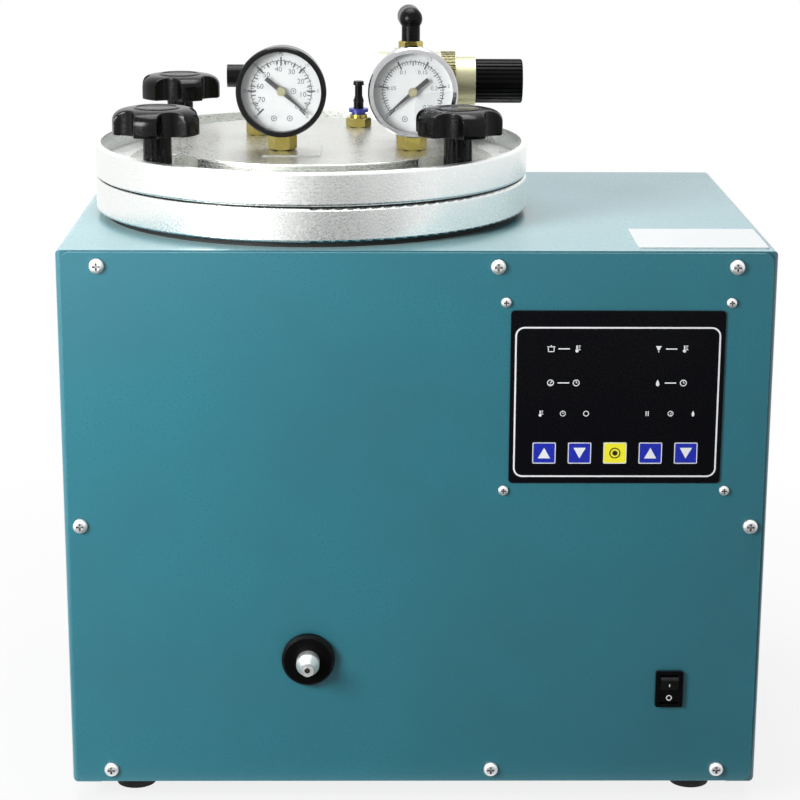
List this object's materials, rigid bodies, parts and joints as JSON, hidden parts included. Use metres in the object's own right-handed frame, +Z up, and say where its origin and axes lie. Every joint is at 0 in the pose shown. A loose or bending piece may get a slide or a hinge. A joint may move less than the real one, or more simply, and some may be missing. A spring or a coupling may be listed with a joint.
{
  "type": "jewelry wax injector",
  "caption": "Bench wax injector: a heated wax pot under a clamped round lid with gauges and an air regulator, in a sheet-metal case with a push-in nozzle, keys and a power switch.",
  "frame": {"origin": "on the floor, under the middle of the whole outline", "axes": "+X to the right seen from the front, +Y from the front panel to the back, +Z up; the nozzle points to -Y"},
  "size_m": [0.38, 0.302, 0.4279],
  "materials": {
    "case_paint": "glossy teal powder coat",
    "fastener_steel": "nickel-plated steel",
    "foot_rubber": "matte black rubber",
    "plate_white": "matte white film",
    "pot_aluminium": "satin, bead-blasted",
    "gasket_black": "matte black heat-proof rubber",
    "heater_steel": "heat-tinted sheet",
    "jacket_wool": "matte glass wool",
    "probe_steel": "bright drawn steel",
    "block_aluminium": "milled",
    "bush_black": "polished black plastic",
    "nozzle_steel": "turned stainless steel",
    "spring_steel": "oiled spring wire",
    "switch_black": "semi-gloss black plastic",
    "overlay_black": "glossy black film",
    "board_green": "solder-masked board",
    "key_blue": "smooth blue plastic",
    "key_yellow": "smooth yellow plastic",
    "core_steel": "varnished steel core and winding",
    "inlet_black": "matte black plastic",
    "valve_body": "dark coil housing on a metal block",
    "fitting_black": "satin black plastic",
    "knob_black": "smooth black plastic",
    "gauge_black": "glossy black enamel",
    "gauge_chrome": "polished",
    "pointer_black": "matte black",
    "dial_white": "matte white",
    "lens_clear": "clear",
    "brass": "turned, slightly dulled",
    "regulator_metal": "die-cast, dull",
    "bonnet_champagne": "pale champagne anodised",
    "collar_blue": "smooth blue plastic"
  },
  "bodies": {
    "cabinet": {"base_tray": "case_paint", "wrap_cover": "case_paint", "front_panel": "case_paint", "back_panel": "case_paint", "case_screws": "fastener_steel", "feet": "foot_rubber", "blank_plate": "plate_white", "wax_pot": "pot_aluminium", "flange_gasket": "gasket_black", "heater_band": "heater_steel", "pot_jacket": "jacket_wool", "temperature_probes": "probe_steel", "nozzle_block": "block_aluminium", "nozzle_heater": "probe_steel", "nozzle_bush": "bush_black", "nozzle_spring": "spring_steel", "trip_switch": "switch_black", "control_overlay": "overlay_black", "control_board": "board_green", "board_fixings": "fastener_steel", "switch_frame": "switch_black", "transformer": "core_steel", "mains_inlet": "inlet_black", "solenoid_valves": "valve_body", "rear_ports": "fitting_black", "lid_seal": "gasket_black"},
    "lid": {"lid": "pot_aluminium", "vacuum_gauge_case": "gauge_black", "pressure_gauge_case": "gauge_chrome", "gauge_dials": "dial_white", "gauge_lenses": "lens_clear", "gauge_stems": "brass", "regulator_body": "regulator_metal", "lock_nut": "brass", "regulator_bonnet": "bonnet_champagne", "brass_fittings": "brass", "barbed_plug": "fitting_black"},
    "washer_front_left": {"washer_front_left": "fastener_steel"},
    "knob_front_left": {"clamp_knob_front_left": "knob_black"},
    "washer_front_right": {"washer_front_right": "fastener_steel"},
    "knob_front_right": {"clamp_knob_front_right": "knob_black"},
    "washer_back_left": {"washer_back_left": "fastener_steel"},
    "knob_back_left": {"clamp_knob_back_left": "knob_black"},
    "washer_back_right": {"washer_back_right": "fastener_steel"},
    "knob_back_right": {"clamp_knob_back_right": "knob_black"},
    "key_1": {"key_1": "key_blue"},
    "key_2": {"key_2": "key_blue"},
    "key_3": {"key_3": "key_yellow"},
    "key_4": {"key_4": "key_blue"},
    "key_5": {"key_5": "key_blue"},
    "rocker": {"switch_rocker": "switch_black"},
    "nozzle": {"nozzle_body": "nozzle_steel", "nozzle_tip": "nozzle_steel"},
    "spindle": {"regulator_spindle": "nozzle_steel"},
    "regulator_knob": {"regulator_knob": "knob_black"},
    "vacuum_needle": {"vacuum_pointer": "pointer_black"},
    "pressure_needle": {"pressure_pointer": "pointer_black"},
    "air_elbow": {"air_elbow": "fitting_black"},
    "vacuum_elbow": {"vacuum_elbow": "fitting_black"},
    "release_collar": {"release_collar": "collar_blue"}
  },
  "joints": [
    {"name": "lid_lift", "type": "slide", "parent": "cabinet", "child": "lid", "axis": [0, 0, 1], "range_m": [0, 0.15]},
    {"name": "knob_front_left_rise", "type": "slide", "parent": "lid", "child": "washer_front_left", "axis": [0, 0, 1], "range_m": [0, 0.0075]},
    {"name": "knob_front_left_turn", "type": "hinge", "parent": "washer_front_left", "child": "knob_front_left", "pos_m": [-0.1396, -0.0798, 0.3426], "axis": [0, 0, 1], "range_deg": [0, 2160]},
    {"name": "knob_front_right_rise", "type": "slide", "parent": "lid", "child": "washer_front_right", "axis": [0, 0, 1], "range_m": [0, 0.0075]},
    {"name": "knob_front_right_turn", "type": "hinge", "parent": "washer_front_right", "child": "knob_front_right", "pos_m": [0.0226, -0.0798, 0.3426], "axis": [0, 0, 1], "range_deg": [0, 2160]},
    {"name": "knob_back_left_rise", "type": "slide", "parent": "lid", "child": "washer_back_left", "axis": [0, 0, 1], "range_m": [0, 0.0075]},
    {"name": "knob_back_left_turn", "type": "hinge", "parent": "washer_back_left", "child": "knob_back_left", "pos_m": [-0.1396, 0.0718, 0.3426], "axis": [0, 0, 1], "range_deg": [0, 2160]},
    {"name": "knob_back_right_rise", "type": "slide", "parent": "lid", "child": "washer_back_right", "axis": [0, 0, 1], "range_m": [0, 0.0075]},
    {"name": "knob_back_right_turn", "type": "hinge", "parent": "washer_back_right", "child": "knob_back_right", "pos_m": [0.0226, 0.0718, 0.3426], "axis": [0, 0, 1], "range_deg": [0, 2160]},
    {"name": "key_1_press", "type": "slide", "parent": "cabinet", "child": "key_1", "axis": [0, 1, 0], "range_m": [0, 0.0004], "stiffness_N_per_m": 800, "springref_m": -0.0003},
    {"name": "key_2_press", "type": "slide", "parent": "cabinet", "child": "key_2", "axis": [0, 1, 0], "range_m": [0, 0.0004], "stiffness_N_per_m": 800, "springref_m": -0.0003},
    {"name": "key_3_press", "type": "slide", "parent": "cabinet", "child": "key_3", "axis": [0, 1, 0], "range_m": [0, 0.0004], "stiffness_N_per_m": 800, "springref_m": -0.0003},
    {"name": "key_4_press", "type": "slide", "parent": "cabinet", "child": "key_4", "axis": [0, 1, 0], "range_m": [0, 0.0004], "stiffness_N_per_m": 800, "springref_m": -0.0003},
    {"name": "key_5_press", "type": "slide", "parent": "cabinet", "child": "key_5", "axis": [0, 1, 0], "range_m": [0, 0.0004], "stiffness_N_per_m": 800, "springref_m": -0.0003},
    {"name": "power_switch", "type": "hinge", "parent": "cabinet", "child": "rocker", "pos_m": [0.1402, -0.13, 0.0681], "axis": [-1, 0, 0], "range_deg": [0, 20]},
    {"name": "nozzle_push", "type": "slide", "parent": "cabinet", "child": "nozzle", "axis": [0, 1, 0], "range_m": [0, 0.003], "stiffness_N_per_m": 1500, "springref_m": -0.002, "deforming": ["nozzle_spring"]},
    {"name": "regulator_turn", "type": "hinge", "parent": "lid", "child": "spindle", "pos_m": [0.018, -0.005, 0.3866], "axis": [1, 0, 0], "range_deg": [0, 1800]},
    {"name": "regulator_unlock", "type": "slide", "parent": "spindle", "child": "regulator_knob", "axis": [1, 0, 0], "range_m": [0, 0.0025]},
    {"name": "vacuum_reading", "type": "hinge", "parent": "lid", "child": "vacuum_needle", "pos_m": [-0.0736, -0.0545, 0.3866], "axis": [0, -1, 0], "range_deg": [0, 260], "stiffness_Nm_per_rad": 0.0005},
    {"name": "pressure_reading", "type": "hinge", "parent": "lid", "child": "pressure_needle", "pos_m": [-0.0014, -0.0485, 0.3856], "axis": [0, 1, 0], "range_deg": [0, 260], "stiffness_Nm_per_rad": 0.0005},
    {"name": "air_elbow_swivel", "type": "hinge", "parent": "lid", "child": "air_elbow", "pos_m": [-0.002, -0.005, 0.42145], "axis": [0, 0, 1], "continuous": true},
    {"name": "vacuum_elbow_swivel", "type": "hinge", "parent": "lid", "child": "vacuum_elbow", "pos_m": [-0.09, 0.018, 0.38635], "axis": [0, 0, 1], "continuous": true},
    {"name": "collar_press", "type": "slide", "parent": "lid", "child": "release_collar", "axis": [0, 0, -1], "range_m": [0, 0.001], "stiffness_N_per_m": 600, "springref_m": -0.0005}
  ],
  "couplings": [
    {"joint": "knob_front_left_rise", "follows": "knob_front_left_turn", "m_per_rad": 0.00019894},
    {"joint": "knob_front_right_rise", "follows": "knob_front_right_turn", "m_per_rad": 0.00019894},
    {"joint": "knob_back_left_rise", "follows": "knob_back_left_turn", "m_per_rad": 0.00019894},
    {"joint": "knob_back_right_rise", "follows": "knob_back_right_turn", "m_per_rad": 0.00019894}
  ]
}
